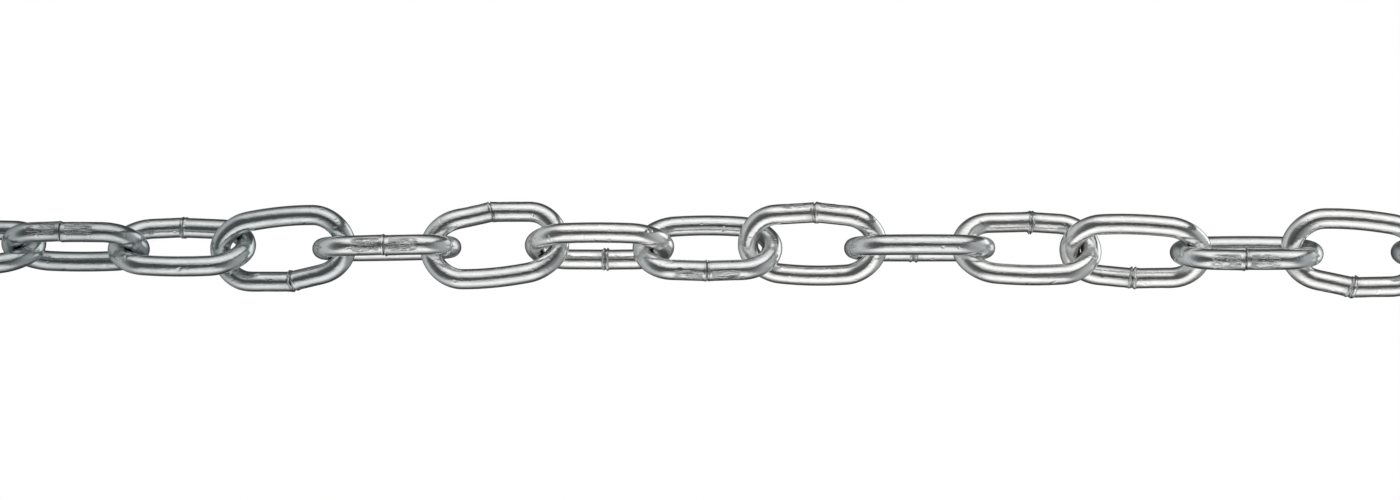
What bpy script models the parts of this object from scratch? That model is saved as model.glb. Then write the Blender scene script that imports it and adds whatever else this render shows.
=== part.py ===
"""A one-metre length of welded, zinc-plated steel chain, lying straight on a level floor.

Every link is one loop of round wire, butt-welded in the middle of one side. The links
interlock and none is joined to the next, so each is a solid of its own. Metres, +Z up,
+X along the chain, origin under the middle of the chain on the floor.
"""
from collections import namedtuple
from math import atan2, cos, pi, radians, sin, tan

import bpy
import numpy as np
from mathutils import Matrix

# Driving sizes of one link
WIRE = 0.006
INSIDE_LENGTH = 0.032
INSIDE_WIDTH = 0.0125
GAP = 0.0002

# The weld stands a little proud of the wire, as a short collar
WELD_PROUD = 1.07
WELD_HALF_LENGTH = 0.0005
WELD_SHOULDER = 0.0011

# How far a link's end may ride above or below the middle of its neighbour's eye
EYE_PLAY = 0.08 * WIRE

LINK_COUNT = 32
FIRST_OF_STRETCH = 8

BEND_POINTS = 8
WIRE_BEVEL_RESOLUTION = 3

BEND_RADIUS = (INSIDE_WIDTH + WIRE) / 2
HALF_CENTRE_LENGTH = (INSIDE_LENGTH + WIRE) / 2
HALF_STRAIGHT = HALF_CENTRE_LENGTH - BEND_RADIUS
PITCH = INSIDE_LENGTH - GAP

UPPER, LOWER = 1, -1

# How one link lies and how it came out of the press: roll about the chain's line, swing
# to the left, skew of its long sides and lean of the two halves of its welded side, in
# degrees; offset to the left and place of the weld along its side, in millimetres.
Lay = namedtuple("Lay", "roll swing skew offset weld_side weld_at lean")

STRETCH = [
    Lay(-57, 0.0, 0.0, 0.3, UPPER, 0.0, 2.0),
    Lay(62, 0.0, 0.0, 0.4, UPPER, -1.7, 2.0),
    Lay(-53, -0.5, 0.0, 0.3, UPPER, -1.0, 4.0),
    Lay(11, 2.0, 3.8, -0.1, LOWER, 2.2, 7.0),
    Lay(85, 1.0, 0.0, 0.1, UPPER, 1.0, 2.5),
    Lay(-8, 1.8, 4.0, 0.8, UPPER, -0.5, 6.5),
    Lay(65, 0.0, 0.0, 0.5, LOWER, 1.2, 1.0),
    Lay(-45, 0.0, 0.0, 0.2, LOWER, 0.0, 2.5),
    Lay(17, 0.0, -1.0, 0.8, UPPER, 1.2, 5.0),
    Lay(84, 0.0, 0.0, -0.1, LOWER, -1.5, 1.0),
    Lay(-35, -0.8, 0.0, -0.2, UPPER, 2.0, 3.0),
    Lay(35, -1.0, -1.5, -1.0, LOWER, -0.7, 4.0),
    Lay(-78, 0.0, 0.0, -1.5, LOWER, -1.7, 3.0),
    Lay(5, -2.0, -3.0, -1.5, LOWER, -1.0, 7.0),
]


def lay_of(index):
    """How a link lies; on either side of the stretch the pattern runs back, mirrored."""
    last = len(STRETCH) - 1
    step = index - FIRST_OF_STRETCH
    if 0 <= step <= last:
        return STRETCH[step]
    lay = STRETCH[-step if step < 0 else 2 * last - step]
    return lay._replace(swing=-lay.swing, skew=-lay.skew, weld_at=-lay.weld_at)


def side_points(side, welded, weld_at, lean):
    """Points between the two bends along one side, in the direction of the loop."""
    if not welded:
        return []
    bulge = tan(radians(lean)) * HALF_STRAIGHT
    points = []
    for x_from_weld, swell in (
        (WELD_SHOULDER, 1.0),
        (WELD_HALF_LENGTH, WELD_PROUD),
        (-WELD_HALF_LENGTH, WELD_PROUD),
        (-WELD_SHOULDER, 1.0),
    ):
        x = weld_at + side * x_from_weld
        reach = HALF_STRAIGHT - weld_at if x > weld_at else HALF_STRAIGHT + weld_at
        y = side * (BEND_RADIUS + bulge * (1 - abs(x - weld_at) / reach))
        points.append((x, y, swell))
    return points


def bend_points(end):
    """Points round one end of the link, in the direction of the loop.

    They stand just outside the half circle of the wire's middle line, so that each short
    straight piece between them touches it, one of them at the very end of the link.
    """
    step = pi / BEND_POINTS
    radius = BEND_RADIUS / cos(step / 2)
    points = []
    for index in range(BEND_POINTS):
        angle = step * (index + 0.5) - pi / 2
        x = end * (HALF_STRAIGHT + radius * cos(angle))
        y = end * radius * sin(angle)
        points.append((x, y, 1.0))
    return points


def link_path(lay):
    """The closed middle line of a link's wire: x, y and the wire's swelling there."""
    weld_at = lay.weld_at / 1000
    path = bend_points(1)
    path += side_points(UPPER, lay.weld_side == UPPER, weld_at, lay.lean)
    path += bend_points(-1)
    path += side_points(LOWER, lay.weld_side == LOWER, weld_at, lay.lean)
    slope = tan(radians(lay.skew)) / BEND_RADIUS
    return [(x, y + slope * x * abs(y), swell) for x, y, swell in path]


def floor_height(lay):
    """Height of a link's middle when its lower side lies on the floor."""
    return WIRE / 2 + BEND_RADIUS * abs(sin(radians(lay.roll)))


def end_heights(lays, index):
    """Heights of a link's two ends: on the floor, or carried in a neighbour's eye."""
    own = floor_height(lays[index])
    heights = []
    for neighbour in (index - 1, index + 1):
        if 0 <= neighbour < len(lays):
            carried = floor_height(lays[neighbour]) - EYE_PLAY
            heights.append(max(own, carried))
        else:
            heights.append(own)
    return heights


def placing(x, y, height, rise, lay):
    """Matrix that lays a flat link into the chain."""
    swing = Matrix.Rotation(radians(lay.swing), 4, "Z")
    tip = Matrix.Rotation(-rise, 4, "Y")
    roll = Matrix.Rotation(radians(lay.roll), 4, "X")
    return Matrix.Translation((x, y, height)) @ swing @ tip @ roll


def fine_line(path, matrix, steps=8):
    """Close-set points along the wire's middle line, in the chain's frame."""
    corners = np.array([(x, y, 0.0) for x, y, _ in path])
    following = np.roll(corners, -1, axis=0)
    parts = [corners + (following - corners) * step / steps for step in range(steps)]
    points = np.concatenate(parts)
    rotation = np.array(matrix.to_3x3())
    return points @ rotation.T + np.array(matrix.translation)


def closest(line_a, line_b):
    """Shortest distance between two sets of points."""
    apart = line_a[:, None, :] - line_b[None, :, :]
    return float(np.sqrt((apart ** 2).sum(axis=2)).min())


def pulled_taut(previous_line, line):
    """Shift along X that brings a link's wire up against the wire before it."""
    slack, tight = -WIRE / 2, WIRE / 2
    for _ in range(24):
        middle = (slack + tight) / 2
        if closest(previous_line, line + np.array((middle, 0, 0))) < WIRE + GAP:
            tight = middle
        else:
            slack = middle
    return slack


def zinc(name, shade):
    """Bright zinc plating, a little lighter or darker from link to link."""
    material = bpy.data.materials.new(name)
    material.use_nodes = True
    shader = material.node_tree.nodes["Principled BSDF"]
    shader.inputs["Base Color"].default_value = (shade, shade * 1.01, shade * 1.02, 1)
    shader.inputs["Metallic"].default_value = 1.0
    shader.inputs["Roughness"].default_value = 0.3
    return material


def wire_link(name, path, matrix, collection):
    """One link: a closed curve with the round wire as its bevel."""
    curve = bpy.data.curves.new(name, "CURVE")
    curve.dimensions = "3D"
    curve.bevel_depth = WIRE / 2
    curve.bevel_resolution = WIRE_BEVEL_RESOLUTION
    curve.resolution_u = 1
    spline = curve.splines.new("POLY")
    spline.points.add(len(path) - 1)
    for point, (x, y, swell) in zip(spline.points, path):
        point.co = (x, y, 0, 1)
        point.radius = swell
    spline.use_cyclic_u = True
    spline.use_smooth = True
    link = bpy.data.objects.new(name, curve)
    link.matrix_world = matrix
    collection.objects.link(link)
    return link


def lay_chain(collection):
    """Lay all the links from left to right, each pulled up against the one before."""
    lays = [lay_of(index) for index in range(LINK_COUNT)]
    links = []
    line_before = None
    x = 0.0
    for index, lay in enumerate(lays):
        left, right = end_heights(lays, index)
        rise = atan2(right - left, INSIDE_LENGTH)
        path = link_path(lay)
        matrix = placing(x, lay.offset / 1000, (left + right) / 2, rise, lay)
        if line_before is not None:
            x += pulled_taut(line_before, fine_line(path, matrix))
            matrix.translation.x = x
        line_before = fine_line(path, matrix)
        name = f"link_{index + 1:02d}"
        link = wire_link(name, path, matrix, collection)
        link.data.materials.append(zinc(f"zinc_{name}", 0.72 + 0.02 * (index % 3)))
        links.append(link)
        x += PITCH
    return links


def centre_on_floor(links):
    """Move the chain so that the origin is under its middle, at floor level."""
    depsgraph = bpy.context.evaluated_depsgraph_get()
    corners = []
    for link in links:
        evaluated = link.evaluated_get(depsgraph)
        mesh = evaluated.to_mesh()
        corners += [tuple(link.matrix_world @ vertex.co) for vertex in mesh.vertices]
        evaluated.to_mesh_clear()
    lowest = np.min(corners, axis=0)
    highest = np.max(corners, axis=0)
    middle = (lowest + highest) / 2
    for link in links:
        link.location.x -= middle[0]
        link.location.y -= middle[1]
        link.location.z -= lowest[2]
    print("chain size in mm:", np.round((highest - lowest) * 1000, 1))


def main():
    for old in list(bpy.data.objects):
        bpy.data.objects.remove(old, do_unlink=True)
    collection = bpy.data.collections.new("welded_chain")
    bpy.context.scene.collection.children.link(collection)
    links = lay_chain(collection)
    bpy.context.view_layer.update()
    centre_on_floor(links)


main()
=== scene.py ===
# %% [markdown]
# # A length of welded steel chain
#
# This notebook dresses a one-metre length of zinc-plated chain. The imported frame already
# holds every link as a plain faceted loop in the right place. Here each loop is replaced
# by a finely modelled one, with its weld, its clamp marks and its plating, and the whole
# is lit and framed from straight above.

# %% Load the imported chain
from collections import namedtuple
from math import acos, atan2, cos, hypot, pi, radians, sin, tan

import bpy
import numpy as np
from mathutils import Matrix, Vector


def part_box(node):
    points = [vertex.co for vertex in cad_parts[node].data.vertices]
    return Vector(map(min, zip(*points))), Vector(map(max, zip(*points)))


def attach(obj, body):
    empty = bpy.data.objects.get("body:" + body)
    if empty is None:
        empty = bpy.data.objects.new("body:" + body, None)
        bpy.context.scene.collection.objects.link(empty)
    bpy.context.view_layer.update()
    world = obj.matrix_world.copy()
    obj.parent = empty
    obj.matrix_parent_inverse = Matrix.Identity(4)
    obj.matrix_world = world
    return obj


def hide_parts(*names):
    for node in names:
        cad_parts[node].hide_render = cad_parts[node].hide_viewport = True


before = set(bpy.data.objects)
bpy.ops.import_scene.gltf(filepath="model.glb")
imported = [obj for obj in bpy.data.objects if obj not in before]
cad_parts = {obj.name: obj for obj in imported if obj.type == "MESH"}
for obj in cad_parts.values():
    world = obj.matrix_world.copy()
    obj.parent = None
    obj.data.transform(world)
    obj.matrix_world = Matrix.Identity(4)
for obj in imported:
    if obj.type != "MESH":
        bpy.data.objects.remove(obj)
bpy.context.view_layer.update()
LINK_NODES = sorted(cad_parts)

# %% [markdown]
# ## The camera
#
# The chain lies on the floor and is seen square on, from straight above, by a long lens
# about 0.8 m away. The camera leans three degrees along the chain, so the links at one end
# come out a little larger than at the other.

# %% Look straight down at the middle of the chain
CAMERA_AT = Vector((0.0234, -0.0021, 0.801))
CAMERA_TURN = (radians(0.14), radians(3.02), radians(-0.02))

camera_data = bpy.data.cameras.new("overhead_camera")
camera_data.lens = 69.3
camera_data.clip_start = 0.01
camera = bpy.data.objects.new("overhead_camera", camera_data)
camera.location = CAMERA_AT
camera.rotation_euler = CAMERA_TURN
bpy.context.scene.collection.objects.link(camera)
bpy.context.scene.camera = camera
print("camera at", tuple(round(v, 3) for v in camera.location))

# %% [markdown]
# ## Small helpers for node trees
#
# The tent of light, the floor, the swept link and the plating are all node trees. Adding a
# node with its settings, doing sums on sockets, soft steps, bell curves and blends of two
# colours come up again and again, so each gets a helper. They take sockets or plain values
# and give back the socket of the result.


# %% Helpers for node trees
def add_node(tree, kind, inputs=None, **settings):
    """Add a node, set its options, and feed its inputs by name or number."""
    made = tree.nodes.new(kind)
    for name, value in settings.items():
        setattr(made, name, value)
    for key, value in (inputs or {}).items():
        feed(tree, made.inputs[key], value)
    return made


def feed(tree, socket, value):
    """Give a socket a plain value, or link it to another socket."""
    if isinstance(value, bpy.types.NodeSocket):
        tree.links.new(value, socket)
    else:
        socket.default_value = value


def calc(tree, operation, *values):
    """One sum on numbers."""
    made = tree.nodes.new("ShaderNodeMath")
    made.operation = operation
    for socket, value in zip(made.inputs, values):
        feed(tree, socket, value)
    return made.outputs[0]


def vector_calc(tree, operation, *values):
    """One sum on vectors; a dot product or a length gives a number."""
    made = tree.nodes.new("ShaderNodeVectorMath")
    made.operation = operation
    for socket, value in zip(made.inputs, values):
        feed(tree, socket, value)
    wanted = "Value" if operation in {"DOT_PRODUCT", "LENGTH"} else "Vector"
    return made.outputs[wanted]


def scaled(tree, vector, factor):
    """A vector times a number."""
    made = tree.nodes.new("ShaderNodeVectorMath")
    made.operation = "SCALE"
    feed(tree, made.inputs[0], vector)
    feed(tree, made.inputs["Scale"], factor)
    return made.outputs["Vector"]


def smooth_mask(tree, value, start, stop, low=0.0, high=1.0):
    """A soft step from low to high as the value goes from start to stop."""
    made = add_node(tree, "ShaderNodeMapRange", interpolation_type="SMOOTHSTEP")
    for name, given in (
        ("Value", value), ("From Min", start), ("From Max", stop),
        ("To Min", low), ("To Max", high),
    ):
        feed(tree, made.inputs[name], given)
    return made.outputs["Result"]


def bell(tree, distance, width):
    """A bell curve: 1 where the distance is nought, near 0 beyond the width."""
    ratio = calc(tree, "DIVIDE", distance, width)
    square = calc(tree, "MULTIPLY", ratio, ratio)
    return calc(tree, "EXPONENT", calc(tree, "MULTIPLY", square, -1.0))


def blend(tree, factor, first, second):
    """Mix two colours by a mask."""
    made = add_node(tree, "ShaderNodeMix", {"Factor": factor}, data_type="RGBA")
    for key, value in (("A", first), ("B", second)):
        socket = [s for s in made.inputs if s.name == key and s.type == "RGBA"][0]
        feed(tree, socket, value)
    return [s for s in made.outputs if s.type == "RGBA"][0]


print("helpers ready")

# %% [markdown]
# ## A tent of soft light
#
# Bright metal has hardly any colour of its own and shows what stands round it. In a studio
# it is put in a tent: long white walls on both sides, a dark gap overhead where the camera
# looks in, and little light from below. Round wire then shows two bright bands, a dark
# line along its middle and dark edges. Area lights could make the bands, but a sky whose
# brightness depends only on how far a direction leans from straight up to either side
# gives the same walls with soft edges and no grain.
#
# The bends of the links also show the two open ends of the tent. The gap overhead runs far
# out to both of them. Beyond it hangs an even grey sheet at the left and a grey one at the
# right, with a bright strip low down in its middle. On the far side a narrow dark slit
# parts the right sheet from the long wall, and it slants a little outwards as it goes down.

# %% How bright each part of the tent is, by lean from straight up
WALL_LEVELS = (
    (0, 0.02), (8, 0.04), (15, 0.15), (25, 0.58), (40, 0.98), (56, 1.22),
    (70, 1.05), (84, 0.72), (94, 0.44), (104, 0.20), (116, 0.06), (140, 0.05),
    (160, 0.12), (180, 0.35),
)
LEFT_LEVELS = (
    (0, 0.06), (20, 0.08), (45, 0.10), (56, 0.17), (64, 0.36), (74, 0.56), (86, 0.58),
    (100, 0.46), (112, 0.42), (124, 0.40), (136, 0.18), (150, 0.10), (165, 0.05), (180, 0.03),
)
RIGHT_LEVELS = (
    (0, 0.06), (20, 0.12), (40, 0.20), (56, 0.28), (70, 0.38), (84, 0.42), (100, 0.36),
    (115, 0.32), (130, 0.30), (145, 0.18), (158, 0.08), (180, 0.04),
)
STRIP_LEVELS = (
    (0, 0.06), (30, 0.10), (44, 0.18), (54, 0.36), (66, 0.44), (80, 0.46), (92, 0.55),
    (100, 0.90), (108, 1.20), (124, 1.30), (134, 0.80), (146, 0.28), (158, 0.08), (180, 0.04),
)
SLIT_LEVELS = (
    (0, 0.04), (20, 0.06), (60, 0.10), (100, 0.09), (140, 0.08), (180, 0.03),
)
FULL_LEVEL = 2.0
WALL_TINT = (0.995, 1.0, 1.0)
END_TINT = (0.955, 1.0, 1.0)


def level_ramp(tree, lean, levels, tint):
    """Brightness by lean, in degrees from straight up, as a soft ramp of colours."""
    ramp = add_node(tree, "ShaderNodeValToRGB", {"Fac": calc(tree, "DIVIDE", lean, pi)})
    ramp.color_ramp.interpolation = "B_SPLINE"
    stops = ramp.color_ramp.elements
    while len(stops) < len(levels):
        stops.new(0.5)
    for stop, (angle, level) in zip(stops, levels):
        stop.position = angle / 180
        stop.color = (*(level * part / FULL_LEVEL for part in tint), 1)
    return ramp.outputs["Color"]


print("tent of", len(WALL_LEVELS), "wall levels and four kinds of sheet at the ends")

# %% Hang the tent
SLIT_SLANT = 0.25
SLIT_LEVEL_AT = radians(72)
BLANK_LEVEL = 1.05

world = bpy.data.worlds.new("light_tent")
bpy.context.scene.world = world
world.use_nodes = True
sky = world.node_tree
sky.nodes.clear()
direction = add_node(sky, "ShaderNodeTexCoord").outputs["Generated"]
parts = add_node(sky, "ShaderNodeSeparateXYZ", {0: direction})
sideways = calc(sky, "ABSOLUTE", parts.outputs["Y"])
side_lean = calc(sky, "ARCTAN2", sideways, parts.outputs["Z"])
lean = calc(sky, "ARCCOSINE", parts.outputs["Z"])
turn = calc(sky, "ARCTAN2", parts.outputs["Y"], parts.outputs["X"])
slant = calc(sky, "MULTIPLY", calc(sky, "SUBTRACT", lean, SLIT_LEVEL_AT), SLIT_SLANT)
slit_turn = calc(sky, "SUBTRACT", turn, slant)


def share_above(value, start, full):
    """Nothing below the first turn, in degrees, and all beyond the second."""
    return smooth_mask(sky, value, radians(start), radians(full))


def share_below(value, ebb, stop):
    """All below the first turn, in degrees, and nothing beyond the second."""
    return smooth_mask(sky, value, radians(ebb), radians(stop), 1.0, 0.0)


def both(first, second):
    """What two shares have in common."""
    return calc(sky, "MULTIPLY", first, second)


def hang_sheet(share, before, levels):
    """Blend one sheet of the tent's ends into what hangs before it."""
    return blend(sky, share, before, level_ramp(sky, lean, levels, END_TINT))


left_share = share_above(calc(sky, "ABSOLUTE", turn), 104, 144)
right_share = both(share_above(turn, -70, -46), share_below(slit_turn, 34, 42))
strip_share = both(share_above(turn, -26, -12), share_below(slit_turn, 28, 36))
slit_share = both(share_above(slit_turn, 27, 33), share_below(slit_turn, 42, 48))
colour = level_ramp(sky, side_lean, WALL_LEVELS, WALL_TINT)
for share, levels in (
    (left_share, LEFT_LEVELS), (right_share, RIGHT_LEVELS),
    (strip_share, STRIP_LEVELS), (slit_share, SLIT_LEVELS),
):
    colour = hang_sheet(share, colour, levels)
tent = add_node(sky, "ShaderNodeBackground", {"Color": colour, "Strength": FULL_LEVEL})
blank = add_node(
    sky, "ShaderNodeBackground", {"Color": (1, 1, 1, 1), "Strength": BLANK_LEVEL}
)
rays = add_node(sky, "ShaderNodeLightPath")
choice = add_node(
    sky, "ShaderNodeMixShader",
    {0: rays.outputs["Is Camera Ray"], 1: tent.outputs[0], 2: blank.outputs[0]},
)
add_node(sky, "ShaderNodeOutputWorld", {"Surface": choice.outputs[0]})
bpy.context.scene.view_settings.view_transform = "Standard"
print("tent with walls, two ends, a bright strip and a dark slit")

# %% [markdown]
# ## The floor
#
# The floor is one very large pale sheet, so that no edge of it shows from any side. The
# photographed chain was cut out against pure white, so the floor glows white in the open.
# Where the links cover it closely, an occlusion test turns its glow down to a painted
# shadow, which shows under the wires and deep in the small holes between two links. It isn't
# mirrored in the metal, which shows the tent on every side instead, also below.

# %% A pale floor
FLOOR_REACH = 80.0
FLOOR_DROP = 0.00005
SHADE_REACH = 0.014
CLOSED_SKY, OPEN_SKY = 0.04, 0.30
DARKEST = 0.05

floor_material = bpy.data.materials.new("pale_floor")
floor_material.use_nodes = True
ground = floor_material.node_tree
ground.nodes.clear()
# Painted shadow: the floor's glow is turned down where the occlusion test finds the links close
# above it
seen_sky = add_node(
    ground, "ShaderNodeAmbientOcclusion", {"Distance": SHADE_REACH}, samples=12
).outputs["AO"]
glow_with_painted_shadow = smooth_mask(ground, seen_sky, CLOSED_SKY, OPEN_SKY, DARKEST, 1.0)
pale = add_node(ground, "ShaderNodeEmission", {"Color": (1, 1, 1, 1), "Strength": glow_with_painted_shadow})
add_node(ground, "ShaderNodeOutputMaterial", {"Surface": pale.outputs[0]})

floor_mesh = bpy.data.meshes.new("floor_sheet")
corners = [(x, y, -FLOOR_DROP) for x, y in (
    (-FLOOR_REACH, -FLOOR_REACH / 2), (FLOOR_REACH / 2, -FLOOR_REACH / 2),
    (FLOOR_REACH / 2, FLOOR_REACH), (-FLOOR_REACH, FLOOR_REACH),
)]
floor_mesh.from_pydata(corners, [], [(0, 1, 2, 3)])
floor_mesh.materials.append(floor_material)
floor = bpy.data.objects.new("floor_sheet", floor_mesh)
bpy.context.scene.collection.objects.link(floor)
floor.visible_glossy = False
print("floor", 1.5 * FLOOR_REACH, "m wide")

# %% [markdown]
# ## The link and how each one lies
#
# A link is round wire bent to an oval: two half-circle bends joined by two straight sides,
# one of which carries the butt weld. Pressing the ends together for welding leaves the
# welded side leaning outwards in the middle, and some links come out a little skewed.
# No two neighbours lie alike, so each link has its own roll about the chain's line and
# its own small swing. These few values describe the stretch that is seen, and on both
# sides of it the pattern runs back, mirrored.

# %% Sizes of one link, in metres
WIRE = 0.006
WIRE_RADIUS = WIRE / 2
INSIDE_LENGTH = 0.032
INSIDE_WIDTH = 0.0125
BEND_RADIUS = (INSIDE_WIDTH + WIRE) / 2
HALF_STRAIGHT = (INSIDE_LENGTH + WIRE) / 2 - BEND_RADIUS
EYE_PLAY = 0.08 * WIRE
MM = 0.001

# %% How the links of the seen stretch lie
UPPER, LOWER = 1, -1
Lay = namedtuple("Lay", "roll swing skew weld_side weld_at lean")
FIRST_OF_STRETCH = 8
STRETCH = [
    Lay(-57, 0.0, 0.0, UPPER, 0.0, 2.0),
    Lay(62, 0.0, 0.0, UPPER, -1.7, 2.0),
    Lay(-53, -0.5, 0.0, UPPER, -1.0, 4.0),
    Lay(11, 2.0, 3.8, LOWER, 2.2, 7.0),
    Lay(85, 1.0, 0.0, UPPER, 1.0, 2.5),
    Lay(-8, 1.8, 4.0, UPPER, -0.5, 6.5),
    Lay(65, 0.0, 0.0, LOWER, 1.2, 1.0),
    Lay(-45, 0.0, 0.0, LOWER, 0.0, 2.5),
    Lay(17, 0.0, -1.0, UPPER, 1.2, 5.0),
    Lay(84, 0.0, 0.0, LOWER, -1.5, 1.0),
    Lay(-35, -0.8, 0.0, UPPER, 2.0, 3.0),
    Lay(35, -1.0, -1.5, LOWER, -0.7, 4.0),
    Lay(-78, 0.0, 0.0, LOWER, -1.7, 3.0),
    Lay(5, -2.0, -3.0, LOWER, -1.0, 7.0),
]


def entry_of(index):
    """Which link of the stretch a link is or repeats; on either side it runs back."""
    last = len(STRETCH) - 1
    step = index - FIRST_OF_STRETCH
    return abs(step) if step <= last else 2 * last - step


def lay_of(index):
    """How a link lies; a link that repeats another lies mirrored."""
    entry = entry_of(index)
    lay = STRETCH[entry]
    if entry == index - FIRST_OF_STRETCH:
        return lay
    return lay._replace(swing=-lay.swing, skew=-lay.skew, weld_at=-lay.weld_at)


LAYS = [lay_of(index) for index in range(len(LINK_NODES))]
print("rolls:", [lay.roll for lay in LAYS])

# %% [markdown]
# ## The wire's middle line
#
# The sweep needs the line down the middle of the wire. It starts in the middle of the side
# that isn't welded, so that the seam of the sweep is far from the weld. Points lie close
# together at the weld, where the flash and its groove are less than a millimetre wide, and
# further apart elsewhere.

# %% Points along one link
POINT_SPACING = 0.0007
WELD_SPACING = 0.00009
WELD_ZONE = 0.0017
BEND_STEPS = 44
RIDGE = 0.0003
BOW = 0.10


def graded(start, stop, weld):
    """Places along a side from start to stop, close together round the weld."""
    sign = 1 if stop > start else -1
    places = []
    x = start
    while sign * (stop - x) > POINT_SPACING / 3:
        places.append(x)
        near = weld is not None and abs(x + sign * WELD_SPACING - weld) < WELD_ZONE
        x += sign * (WELD_SPACING if near else POINT_SPACING)
    return places


def leg_fall(reach, bulge):
    """Angle at which a welded leg falls from the weld to touch the bend's circle."""
    out = BEND_RADIUS + bulge
    return acos(BEND_RADIUS / hypot(out, reach)) - atan2(reach, out)


def welded_y(x, weld, bulge, falls):
    """Height of the welded side: a low roof with its ridge, a little rounded, at the weld."""
    fall = falls[0] if x < weld else falls[1]
    rounded = hypot(x - weld, RIDGE) - RIDGE
    return BEND_RADIUS + bulge - tan(fall) * rounded


def arc(end, start, stop):
    """Points round one end of the link, from one angle to another."""
    count = round(BEND_STEPS * abs(stop - start) / pi)
    angles = [start + (stop - start) * step / count for step in range(count)]
    return [
        (end * HALF_STRAIGHT + BEND_RADIUS * cos(a), BEND_RADIUS * sin(a)) for a in angles
    ]


def bowed(x, y):
    """The plain side comes out of the press slightly bowed, narrowing towards the bends."""
    return y * (1 - BOW * (x / HALF_STRAIGHT) ** 2 / 2)


def link_line(lay):
    """The closed middle line of a link's wire, flat, from the middle of its plain side."""
    weld = lay.weld_at * MM
    bulge = tan(radians(lay.lean)) * HALF_STRAIGHT
    falls = leg_fall(HALF_STRAIGHT + weld, bulge), leg_fall(HALF_STRAIGHT - weld, bulge)
    touch = [HALF_STRAIGHT + BEND_RADIUS * sin(fall) for fall in falls]
    line = [(x, -BEND_RADIUS) for x in graded(0.0, HALF_STRAIGHT, None)]
    line += arc(1, -pi / 2, pi / 2 - falls[1])
    line += [
        (x, welded_y(x, weld, bulge, falls)) for x in graded(touch[1], -touch[0], weld)
    ]
    line += arc(-1, pi / 2 + falls[0], 3 * pi / 2)
    line += [(x, -BEND_RADIUS) for x in graded(-HALF_STRAIGHT, 0.0, None)]
    if lay.weld_side == LOWER:
        line = [(x, -y) for x, y in reversed(line)]
    plain = -lay.weld_side
    slope = tan(radians(lay.skew)) / BEND_RADIUS
    line = [(x, bowed(x, y) if y * plain > 0 else y) for x, y in line]
    return [(x, y + slope * x * abs(y)) for x, y in line]


print(len(link_line(STRETCH[3])), "points along one link's wire")

# %% [markdown]
# ## Sweeping the wire, with its weld
#
# On the real link the weld squeezes out a little metal, which is pinched off to a low
# collar with a groove in it, and the clamps that hold the halves leave flattened, scuffed
# patches on the outer face. One Geometry Nodes tree makes all of it: it sweeps a circle
# along the middle line, then moves the skin in or out by the distance from the weld and
# by the direction round the wire. It also stores four attributes on the skin, which the
# plating reads: the place in the flat link, shifted by the link's seed so that no two have
# the same marks, the direction round the wire, the distance from the weld, and how far the
# clamps bit there.

# %% The tree that sweeps a link
ROUND_WIRE = 40
LINK_INPUTS = (
    ("Wire Radius", "NodeSocketFloat", WIRE_RADIUS),
    ("Steps Around", "NodeSocketInt", ROUND_WIRE),
    ("Weld Place", "NodeSocketFloat", 0.0),
    ("Weld Side", "NodeSocketFloat", 1.0),
    ("Lips Apart", "NodeSocketFloat", 0.0003),
    ("Lip Height", "NodeSocketFloat", 0.0002),
    ("Groove Depth", "NodeSocketFloat", 0.0003),
    ("Step at Weld", "NodeSocketFloat", 0.0),
    ("Ring Slant", "NodeSocketFloat", 0.0),
    ("Clamp Depth", "NodeSocketFloat", 0.00012),
    ("Seed", "NodeSocketFloat", 0.0),
    ("Plating", "NodeSocketMaterial", None),
)
LIP_WIDTH = 0.00036
GROOVE_WIDTH = 0.00015
RING_WAVE = 0.0006
WAVE_GRAIN, LIP_GRAIN, GROOVE_GRAIN = 1.3, 1.5, 1.1
SWELL_INSIDE = 0.45
LIP_SHIFT = 3.7
CLAMP_NEAR = 0.0018
CLAMP_FAR = 0.0105
CLAMP_GRAIN = (240, 900, 900)
STEP_FADE = 0.004
STEP_WAY = (0, 0.5, 1)
SEED_SHIFT = (0.37, 0.61, 0.83)


def begin_link_tree():
    """An empty geometry tree with the link's named inputs."""
    tree = bpy.data.node_groups.new("swept_link", "GeometryNodeTree")
    tree.is_modifier = True
    sockets = tree.interface
    sockets.new_socket("Middle Line", in_out="INPUT", socket_type="NodeSocketGeometry")
    for name, kind, value in LINK_INPUTS:
        socket = sockets.new_socket(name, in_out="INPUT", socket_type=kind)
        if value is not None:
            socket.default_value = value
    sockets.new_socket("Link", in_out="OUTPUT", socket_type="NodeSocketGeometry")
    return tree


def sweep_round(tree, given):
    """Sweep a circle along the line; hand on the skin, its middle and its outward way."""
    middle = add_node(tree, "GeometryNodeInputPosition").outputs[0]
    tangent = add_node(tree, "GeometryNodeInputTangent").outputs[0]
    outward = vector_calc(tree, "CROSS_PRODUCT", tangent, (0, 0, 1))
    held = add_node(tree, "GeometryNodeCaptureAttribute", domain="POINT")
    held.capture_items.new("VECTOR", "Middle")
    held.capture_items.new("VECTOR", "Outward")
    tree.links.new(given["Middle Line"], held.inputs[0])
    tree.links.new(middle, held.inputs["Middle"])
    tree.links.new(outward, held.inputs["Outward"])
    circle = add_node(
        tree, "GeometryNodeCurvePrimitiveCircle",
        {"Resolution": given["Steps Around"], "Radius": given["Wire Radius"]},
    )
    swept = add_node(
        tree, "GeometryNodeCurveToMesh",
        {"Curve": held.outputs[0], "Profile Curve": circle.outputs["Curve"]},
    )
    return swept.outputs["Mesh"], held.outputs["Middle"], held.outputs["Outward"]


def noise_of(tree, vector, scale, detail=2.0, rough=0.5, w=None):
    """Smooth noise from nought to one; a fourth measure lets a pattern close in a loop."""
    inputs = {"Vector": vector, "Scale": scale, "Detail": detail, "Roughness": rough}
    if w is not None:
        inputs["W"] = w
    made = add_node(
        tree, "ShaderNodeTexNoise", noise_dimensions="3D" if w is None else "4D",
        normalize=True,
    )
    for name, value in inputs.items():
        feed(tree, made.inputs[name], value)
    return made.outputs[0]


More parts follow.
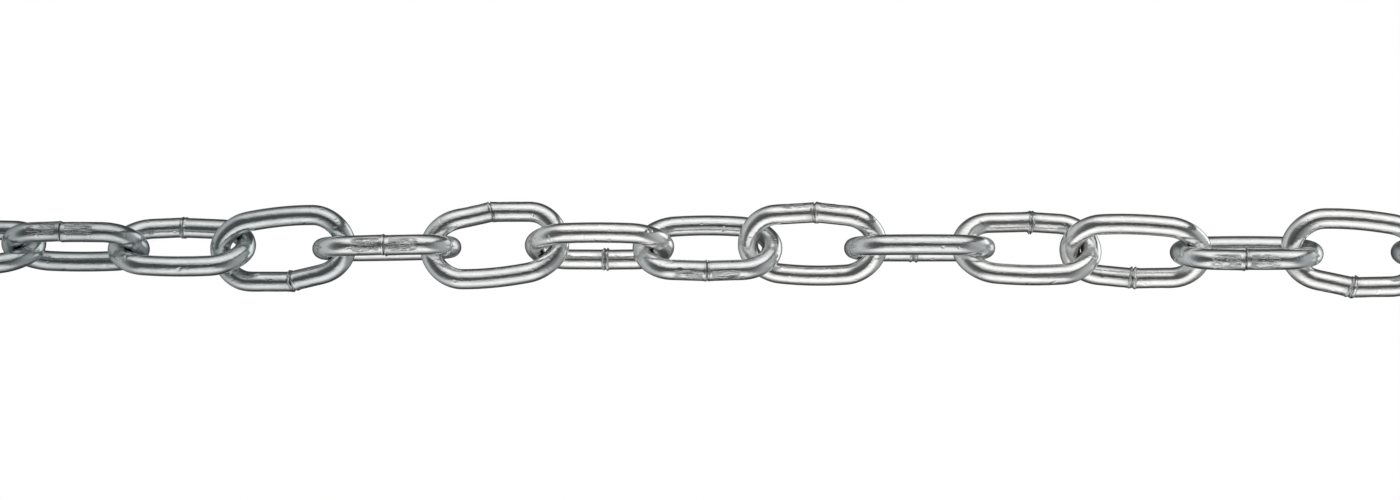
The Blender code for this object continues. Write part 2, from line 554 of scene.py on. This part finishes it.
def ring_parts(tree, given, from_weld, section):
    """The squeezed-out ring: two uneven lips, wavy and slanted, and the groove between."""
    outer = add_node(tree, "ShaderNodeSeparateXYZ", {0: section}).outputs["X"]
    seeded = vector_calc(tree, "ADD", section, given["shift"])
    wave = calc(tree, "SUBTRACT", noise_of(tree, seeded, WAVE_GRAIN), 0.5)
    slant = calc(tree, "MULTIPLY", outer, given["Ring Slant"])
    place = calc(tree, "SUBTRACT", from_weld, slant)
    place = calc(tree, "ADD", place, calc(tree, "MULTIPLY", wave, RING_WAVE))
    heavier_inside = calc(tree, "ADD", calc(tree, "MULTIPLY", outer, -SWELL_INSIDE), 1.0)
    collar = 0.0
    for side in (-1, 1):
        spot = vector_calc(tree, "ADD", seeded, (0, 0, LIP_SHIFT * side))
        uneven = noise_of(tree, spot, LIP_GRAIN)
        uneven = smooth_mask(tree, uneven, 0.30, 0.70, 0.15, 1.45)
        lip_at = calc(tree, "MULTIPLY", given["Lips Apart"], side)
        lip = bell(tree, calc(tree, "SUBTRACT", place, lip_at), LIP_WIDTH)
        collar = calc(tree, "ADD", collar, calc(tree, "MULTIPLY", lip, uneven))
    collar = calc(tree, "MULTIPLY", collar, heavier_inside)
    collar = calc(tree, "MULTIPLY", collar, given["Lip Height"])
    deep = noise_of(tree, seeded, GROOVE_GRAIN)
    deep = smooth_mask(tree, deep, 0.35, 0.65, 0.25, 1.1)
    groove = calc(tree, "MULTIPLY", bell(tree, place, GROOVE_WIDTH), deep)
    groove = calc(tree, "MULTIPLY", groove, given["Groove Depth"])
    return calc(tree, "SUBTRACT", collar, groove)


def clamp_parts(tree, from_weld, section, place):
    """Where the clamps bit on the outer face, and how deep their torn marks go."""
    away = calc(tree, "ABSOLUTE", from_weld)
    outer = add_node(tree, "ShaderNodeSeparateXYZ", {0: section}).outputs["X"]
    face = smooth_mask(tree, outer, 0.62, 0.95)
    near = smooth_mask(tree, away, CLAMP_NEAR * 0.5, CLAMP_NEAR * 1.3)
    far = smooth_mask(tree, away, CLAMP_FAR * 0.70, CLAMP_FAR, 1.0, 0.0)
    clamp = calc(tree, "MULTIPLY", calc(tree, "MULTIPLY", face, near), far)
    rows = vector_calc(tree, "MULTIPLY", place, CLAMP_GRAIN)
    torn = smooth_mask(tree, noise_of(tree, rows, 1.0, 3.0, 0.6), 0.38, 0.62, 0.15, 1.0)
    return clamp, calc(tree, "MULTIPLY", clamp, torn)


def skin_shift(tree, given, from_weld, on_welded, section, place):
    """How far the skin stands out or in: the ring of the weld and the clamp marks."""
    ring = ring_parts(tree, given, from_weld, section)
    clamp, torn = clamp_parts(tree, from_weld, section, place)
    dent = calc(tree, "MULTIPLY", torn, given["Clamp Depth"])
    out = calc(tree, "SUBTRACT", ring, dent)
    return calc(tree, "MULTIPLY", out, on_welded), calc(tree, "MULTIPLY", clamp, on_welded)


def build_link_tree():
    """The whole tree: sweep, weld and clamp marks, stored attributes, plating."""
    tree = begin_link_tree()
    given = dict(add_node(tree, "NodeGroupInput").outputs.items())
    skin, middle, outward = sweep_round(tree, given)
    place = add_node(tree, "GeometryNodeInputPosition").outputs[0]
    way = vector_calc(tree, "NORMALIZE", vector_calc(tree, "SUBTRACT", place, middle))
    way_z = add_node(tree, "ShaderNodeSeparateXYZ", {0: way}).outputs["Z"]
    section = add_node(
        tree, "ShaderNodeCombineXYZ",
        {"X": vector_calc(tree, "DOT_PRODUCT", way, outward), "Y": way_z},
    ).outputs[0]
    given["shift"] = scaled(tree, SEED_SHIFT, given["Seed"])
    spot = add_node(tree, "ShaderNodeSeparateXYZ", {0: middle})
    from_weld = calc(tree, "SUBTRACT", spot.outputs["X"], given["Weld Place"])
    side = calc(tree, "MULTIPLY", spot.outputs["Y"], given["Weld Side"])
    on_welded = calc(tree, "GREATER_THAN", side, BEND_RADIUS / 2)
    seeded_place = vector_calc(tree, "ADD", place, given["shift"])
    out, clamp = skin_shift(tree, given, from_weld, on_welded, section, seeded_place)
    away = calc(tree, "ABSOLUTE", from_weld)
    fade = calc(tree, "EXPONENT", calc(tree, "DIVIDE", away, -STEP_FADE))
    side_of = calc(tree, "SIGN", from_weld)
    step = calc(tree, "MULTIPLY", calc(tree, "MULTIPLY", fade, side_of), given["Step at Weld"])
    step = calc(tree, "MULTIPLY", step, on_welded)
    shift = vector_calc(tree, "ADD", scaled(tree, way, out), scaled(tree, STEP_WAY, step))
    # On the plain side a whole metre is added, so that no mark of the weld shows there
    kept_distance = calc(tree, "ADD", from_weld, calc(tree, "SUBTRACT", 1.0, on_welded))
    geometry = skin
    for name, kind, value in (
        ("flat_place", "FLOAT_VECTOR", seeded_place),
        ("section", "FLOAT_VECTOR", section),
        ("from_weld", "FLOAT", kept_distance),
        ("clamped", "FLOAT", clamp),
    ):
        store = add_node(
            tree, "GeometryNodeStoreNamedAttribute", {"Geometry": geometry, "Name": name},
            data_type=kind, domain="POINT",
        )
        tree.links.new(value, store.inputs["Value"])
        geometry = store.outputs["Geometry"]
    moved = add_node(tree, "GeometryNodeSetPosition", {"Geometry": geometry, "Offset": shift})
    smooth = add_node(tree, "GeometryNodeSetShadeSmooth", {"Geometry": moved.outputs[0]})
    real = add_node(tree, "GeometryNodeRealizeInstances", {"Geometry": smooth.outputs[0]})
    plated = add_node(
        tree, "GeometryNodeSetMaterial",
        {"Geometry": real.outputs[0], "Material": given["Plating"]},
    )
    add_node(tree, "NodeGroupOutput", {"Link": plated.outputs[0]})
    return tree


LINK_TREE = build_link_tree()
LINK_SOCKETS = {
    item.name: item.identifier
    for item in LINK_TREE.interface.items_tree
    if item.item_type == "SOCKET" and item.in_out == "INPUT"
}
print("link tree with", len(LINK_TREE.nodes), "nodes, inputs:", list(LINK_SOCKETS))

# %% [markdown]
# ## What the plating shows
#
# Zinc plating on drawn wire is silvery and a little soft in its shine. It keeps the fine
# lines of the drawing die along the wire, clouds a little from place to place, has a small
# knock here and there, and turns rough and grey where the clamps bit and where the weld was
# hot. A thin dark band along the weld line is painted shade in the weld's groove.
# Each of these is a shader group that reads the attributes of the sweep, so the pattern
# follows the wire round the bends. The groups give masks only, and the shader itself stays
# in the material.


# %% Shader groups for the plated wire
LINES_AROUND = 9.0
LINE_CHANGE = 70.0
CLOUD_GRAIN, KNOCK_GRAIN, SPECK_GRAIN, BLOOM_GRAIN = 210.0, 430.0, 1700.0, 520.0
PEBBLE_GRAIN = (520, 1250, 1250)
SCUFF_GRAIN = (420, 1500, 1500)
STREAK_GRAIN = (130, 1300, 1300)
BLOOM_REACH = 0.0032
GROOVE_SHADE_REACH = 0.00022


def begin_group(name, inputs, outputs):
    """An empty shader group with named sockets."""
    group = bpy.data.node_groups.new(name, "ShaderNodeTree")
    for socket_name, kind, value in inputs:
        socket = group.interface.new_socket(socket_name, in_out="INPUT", socket_type=kind)
        if value is not None:
            socket.default_value = value
    for socket_name in outputs:
        group.interface.new_socket(
            socket_name, in_out="OUTPUT", socket_type="NodeSocketFloat"
        )
    source = add_node(group, "NodeGroupInput")
    target = add_node(group, "NodeGroupOutput")
    return group, dict(source.outputs.items()), target


def drawn_lines_group():
    """Fine lines along the wire, from drawing it through a die."""
    vector = "NodeSocketVector"
    group, given, target = begin_group(
        "drawn_lines",
        (("Flat Place", vector, None), ("Section", vector, None),
         ("Lines Around", "NodeSocketFloat", LINES_AROUND)),
        ("Lines",),
    )
    along = add_node(group, "ShaderNodeSeparateXYZ", {0: given["Flat Place"]})
    around = add_node(group, "ShaderNodeSeparateXYZ", {0: given["Section"]})
    fine = calc(group, "MULTIPLY", around.outputs["X"], given["Lines Around"])
    w = calc(group, "MULTIPLY", around.outputs["Y"], given["Lines Around"])
    slow_x = calc(group, "MULTIPLY", along.outputs["X"], LINE_CHANGE)
    slow_y = calc(group, "MULTIPLY", along.outputs["Y"], LINE_CHANGE)
    spot = add_node(group, "ShaderNodeCombineXYZ", {"X": slow_x, "Y": slow_y, "Z": fine})
    lines = noise_of(group, spot.outputs[0], 1.0, 4.0, 0.6, w)
    feed(group, target.inputs["Lines"], lines)
    return group


def clouding_group():
    """Soft clouds in the plating, and the small specks among them."""
    group, given, target = begin_group(
        "plating_clouds",
        (("Flat Place", "NodeSocketVector", None),),
        ("Clouds", "Pebbles", "Specks", "Knocks"),
    )
    clouds = noise_of(group, given["Flat Place"], CLOUD_GRAIN, 3.0, 0.55)
    long = vector_calc(group, "MULTIPLY", given["Flat Place"], PEBBLE_GRAIN)
    pebbles = noise_of(group, long, 1.0, 2.0, 0.5)
    specks = noise_of(group, given["Flat Place"], SPECK_GRAIN, 2.0, 0.6)
    knocks = noise_of(group, given["Flat Place"], KNOCK_GRAIN, 1.0, 0.4)
    feed(group, target.inputs["Clouds"], smooth_mask(group, clouds, 0.3, 0.7))
    feed(group, target.inputs["Knocks"], smooth_mask(group, knocks, 0.66, 0.80))
    feed(group, target.inputs["Pebbles"], pebbles)
    feed(group, target.inputs["Specks"], smooth_mask(group, specks, 0.58, 0.75))
    return group


def weld_marks_group():
    """Scuffs of the clamps, the grey bloom where the weld was hot, and painted groove shade."""
    group, given, target = begin_group(
        "weld_marks",
        (("Flat Place", "NodeSocketVector", None), ("From Weld", "NodeSocketFloat", 1.0),
         ("Clamped", "NodeSocketFloat", 0.0)),
        ("Scuffs", "Streaks", "Bloom", "GrooveShade"),
    )
    soft = smooth_mask(group, given["Clamped"], 0.03, 0.45)
    rows = vector_calc(group, "MULTIPLY", given["Flat Place"], SCUFF_GRAIN)
    torn = smooth_mask(group, noise_of(group, rows, 1.0, 4.0, 0.65), 0.42, 0.60)
    long = vector_calc(group, "MULTIPLY", given["Flat Place"], STREAK_GRAIN)
    streaks = smooth_mask(group, noise_of(group, long, 1.0, 2.0, 0.6), 0.53, 0.64)
    feed(group, target.inputs["Scuffs"], calc(group, "MULTIPLY", torn, soft))
    feed(group, target.inputs["Streaks"], calc(group, "MULTIPLY", streaks, soft))
    away = calc(group, "ABSOLUTE", given["From Weld"])
    uneven = noise_of(group, given["Flat Place"], BLOOM_GRAIN, 3.0)
    blotch = smooth_mask(group, uneven, 0.3, 0.65)
    bloom = calc(group, "MULTIPLY", bell(group, away, BLOOM_REACH), blotch)
    feed(group, target.inputs["Bloom"], bloom)
    # Painted shade: a thin band at the weld line, darkened as the groove's shadow
    feed(group, target.inputs["GrooveShade"], bell(group, away, GROOVE_SHADE_REACH))
    return group


DRAWN_LINES = drawn_lines_group()
CLOUDS = clouding_group()
WELD_MARKS = weld_marks_group()
print("shader groups:", [group.name for group in (DRAWN_LINES, CLOUDS, WELD_MARKS)])

# %% [markdown]
# ## The plating itself
#
# Links come out of the plating barrel a little different from one another, some brighter
# and some with a bluer cast. The two duller platings are also painted shade: they go on the
# links at the left end of the seen stretch, and on the links that repeat them, and stand in
# for the weaker light at that end. So there are four platings, made by one function from
# the same groups.

# %% Four platings
Plating = namedtuple("Plating", "name colour shade rough")
PLATINGS = (
    Plating("zinc_dull_painted_shade", (0.58, 0.61, 0.62), (0.42, 0.45, 0.46), 0.12),
    Plating("zinc_cool_painted_shade", (0.70, 0.725, 0.73), (0.52, 0.55, 0.555), 0.11),
    Plating("zinc_soft", (0.85, 0.86, 0.86), (0.66, 0.67, 0.67), 0.11),
    Plating("zinc_bright", (0.945, 0.94, 0.93), (0.76, 0.755, 0.745), 0.10),
)

# What each mark does to the plating: how strongly it stains it and with which grey, how
# much rougher it makes it, and how far it stands out or is pressed in
CLOUD_STAIN = 0.40
STAINS = (
    ("Scuffs", 0.65, (0.34, 0.35, 0.35, 1)),
    ("Streaks", 0.80, (0.13, 0.13, 0.13, 1)),
    ("Bloom", 0.45, (0.45, 0.46, 0.47, 1)),
    # Painted shade in the weld's groove, a thin dark band along the weld line
    ("GrooveShade", 0.60, (0.16, 0.16, 0.16, 1)),
)
ROUGHER = (("Clouds", 0.06), ("Lines", 0.05), ("Scuffs", 0.16), ("Bloom", 0.12))
RELIEF = (
    ("Lines", 0.5), ("Specks", 0.2), ("Pebbles", 0.7), ("Knocks", -1.2), ("Scuffs", -0.9),
    ("Bloom", 0.4),
)
RELIEF_STRENGTH, RELIEF_HEIGHT = 0.5, 0.00012


def masks_of(tree, group, inputs):
    """Put a shader group in a material, feed it, and hand on its masks by name."""
    made = add_node(tree, "ShaderNodeGroup", node_tree=group)
    for name, value in inputs.items():
        feed(tree, made.inputs[name], value)
    return dict(made.outputs.items())


def weighted_sum(tree, start, masks, weights):
    """A first value plus each mask times its weight."""
    total = start
    for name, weight in weights:
        total = calc(tree, "ADD", total, calc(tree, "MULTIPLY", masks[name], weight))
    return total


def stored(tree, name, output):
    """One of the attributes that the sweep stores on the skin."""
    return add_node(tree, "ShaderNodeAttribute", attribute_name=name).outputs[output]


def plating_material(plating):
    """Zinc over drawn wire."""
    material = bpy.data.materials.new(plating.name)
    material.use_nodes = True
    tree = material.node_tree
    shader = tree.nodes["Principled BSDF"]
    place = stored(tree, "flat_place", "Vector")
    masks = masks_of(
        tree, DRAWN_LINES,
        {"Flat Place": place, "Section": stored(tree, "section", "Vector"),
         "Lines Around": LINES_AROUND},
    )
    masks |= masks_of(tree, CLOUDS, {"Flat Place": place})
    masks |= masks_of(
        tree, WELD_MARKS,
        {"Flat Place": place, "From Weld": stored(tree, "from_weld", "Fac"),
         "Clamped": stored(tree, "clamped", "Fac")},
    )
    clouded = calc(tree, "MULTIPLY", masks["Clouds"], CLOUD_STAIN)
    colour = blend(tree, clouded, (*plating.colour, 1), (*plating.shade, 1))
    for name, strength, stain in STAINS:
        colour = blend(tree, calc(tree, "MULTIPLY", masks[name], strength), colour, stain)
    feed(tree, shader.inputs["Base Color"], colour)
    shader.inputs["Metallic"].default_value = 1.0
    rough = weighted_sum(tree, plating.rough, masks, ROUGHER)
    feed(tree, shader.inputs["Roughness"], rough)
    bump = add_node(
        tree, "ShaderNodeBump",
        {"Height": weighted_sum(tree, 0.0, masks, RELIEF), "Strength": RELIEF_STRENGTH,
         "Distance": RELIEF_HEIGHT},
    )
    feed(tree, shader.inputs["Normal"], bump.outputs["Normal"])
    return material


ZINC = {plating.name: plating_material(plating) for plating in PLATINGS}
print("platings:", list(ZINC))

# %% [markdown]
# ## Making the links
#
# No two welds came out alike: some are only a dark groove, some a ring of two lips and
# some a bulging knot, and the ring may slant or step. So each link has a row of its own
# values. Each link's middle line becomes a curve with the tree on it. The evaluated curve
# is copied to a plain mesh, turned as that link lies, and moved until its box has the same
# middle as the imported node's box, so it stands exactly where the imported link stands.

# %% How each link is welded and plated, in millimetres
# The dull and cool platings paint shade on the links at the left end of the stretch
DULL_PAINTED_SHADE, COOL_PAINTED_SHADE, SOFT, BRIGHT = ZINC.values()
Weld = namedtuple("Weld", "lips height groove step slant clamp zinc")
WELDS = [
    Weld(0.35, 0.20, 0.45, 0.00, 0.00, 0.12, DULL_PAINTED_SHADE),
    Weld(0.30, 0.16, 0.80, 0.24, -0.15, 0.20, DULL_PAINTED_SHADE),
    Weld(0.42, 0.28, 0.20, -0.06, 0.30, 0.10, COOL_PAINTED_SHADE),
    Weld(0.55, 0.26, 0.45, 0.45, 0.50, 0.08, COOL_PAINTED_SHADE),
    Weld(0.35, 0.18, 0.50, 0.12, 0.00, 0.18, SOFT),
    Weld(0.32, 0.18, 0.65, -0.12, -0.33, 0.08, SOFT),
    Weld(0.50, 0.55, 0.15, 0.05, 0.05, 0.08, BRIGHT),
    Weld(0.30, 0.22, 0.75, 0.00, -0.10, 0.18, SOFT),
    Weld(0.45, 0.22, 0.40, 0.12, -0.30, 0.10, BRIGHT),
    Weld(0.80, 0.28, 0.20, 0.00, 0.00, 0.08, SOFT),
    Weld(0.40, 0.60, 0.15, -0.05, 0.15, 0.12, BRIGHT),
    Weld(0.70, 0.36, 0.30, 0.08, -0.15, 0.10, BRIGHT),
    Weld(0.30, 0.18, 0.60, 0.10, 0.00, 0.20, SOFT),
    Weld(0.65, 0.40, 0.30, -0.10, -0.60, 0.08, BRIGHT),
]


def floor_height(lay):
    """Height of a link's middle when its lower side lies on the floor."""
    return WIRE_RADIUS + BEND_RADIUS * abs(sin(radians(lay.roll)))


def rise_of(index):
    """How much higher a link's right end rides than its left, as an angle."""
    own = floor_height(LAYS[index])
    ends = []
    for neighbour in (index - 1, index + 1):
        if 0 <= neighbour < len(LAYS):
            ends.append(max(own, floor_height(LAYS[neighbour]) - EYE_PLAY))
        else:
            ends.append(own)
    return atan2(ends[1] - ends[0], INSIDE_LENGTH)


def line_object(name, points):
    """A closed curve object through the points, flat on its own XY plane."""
    curve = bpy.data.curves.new(name, "CURVE")
    curve.dimensions = "3D"
    spline = curve.splines.new("POLY")
    spline.points.add(len(points) - 1)
    for point, (x, y) in zip(spline.points, points):
        point.co = (x, y, 0, 1)
    spline.use_cyclic_u = True
    made = bpy.data.objects.new(name, curve)
    bpy.context.scene.collection.objects.link(made)
    return made


def flat_link(index):
    """The swept link as a plain mesh, still flat."""
    lay, weld = LAYS[index], WELDS[entry_of(index)]
    line = line_object(f"line_{index + 1:02d}", link_line(lay))
    modifier = line.modifiers.new("sweep", "NODES")
    modifier.node_group = LINK_TREE
    for name, value in (
        ("Weld Place", lay.weld_at * MM),
        ("Weld Side", float(lay.weld_side)),
        ("Lips Apart", weld.lips * MM),
        ("Lip Height", weld.height * MM),
        ("Groove Depth", weld.groove * MM),
        ("Step at Weld", weld.step * MM),
        ("Ring Slant", weld.slant * MM),
        ("Clamp Depth", weld.clamp * MM),
        ("Seed", float(index)),
        ("Plating", weld.zinc),
    ):
        modifier[LINK_SOCKETS[name]] = value
    depsgraph = bpy.context.evaluated_depsgraph_get()
    mesh = bpy.data.meshes.new_from_object(line.evaluated_get(depsgraph), depsgraph=depsgraph)
    bpy.data.objects.remove(line, do_unlink=True)
    return mesh


def lay_link(index):
    """Make one link, turn it, place it on its node and let it stand for the node."""
    node = LINK_NODES[index]
    lay = LAYS[index]
    mesh = flat_link(index)
    turn = Matrix.Rotation(radians(lay.swing), 4, "Z")
    turn @= Matrix.Rotation(-rise_of(index), 4, "Y")
    turn @= Matrix.Rotation(radians(lay.roll), 4, "X")
    mesh.transform(turn)
    places = np.empty(len(mesh.vertices) * 3, dtype=np.float32)
    mesh.vertices.foreach_get("co", places)
    places = places.reshape(-1, 3)
    own_middle = (places.min(axis=0) + places.max(axis=0)) / 2
    low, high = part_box(node)
    mesh.transform(Matrix.Translation((low + high) / 2 - Vector(own_middle.tolist())))
    piece = bpy.data.objects.new("swept_" + node, mesh)
    bpy.context.scene.collection.objects.link(piece)
    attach(piece, "root")
    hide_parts(node)
    return piece


links = [lay_link(index) for index in range(len(LINK_NODES))]
faces = sum(len(link.data.polygons) for link in links)
print(len(links), "links swept,", faces, "faces in all,", len(links[0].data.polygons), "in one")
